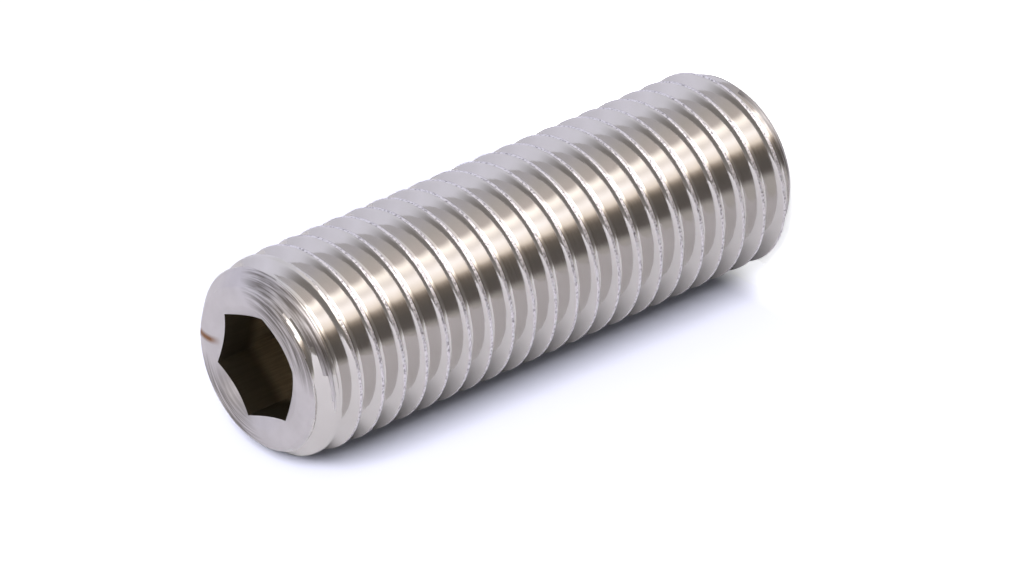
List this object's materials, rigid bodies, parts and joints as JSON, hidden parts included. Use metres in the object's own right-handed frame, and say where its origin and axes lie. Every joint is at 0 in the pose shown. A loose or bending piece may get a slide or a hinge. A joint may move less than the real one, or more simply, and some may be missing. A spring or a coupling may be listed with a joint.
{
  "type": "hexagon socket set screw",
  "caption": "Headless threaded rod with a hexagon socket in one end and a chamfered flat point on the other.",
  "frame": {"origin": "centre of the flat point's face, on the screw's axis", "axes": "+Z along the screw's axis, from the point to the socket; two corners of the hexagon lie on X"},
  "size_m": [0.0188, 0.0188, 0.0579],
  "materials": {
    "stainless_steel": "bright rolled and turned stainless steel"
  },
  "bodies": {
    "root": {"set_screw": "stainless_steel"}
  },
  "joints": []
}
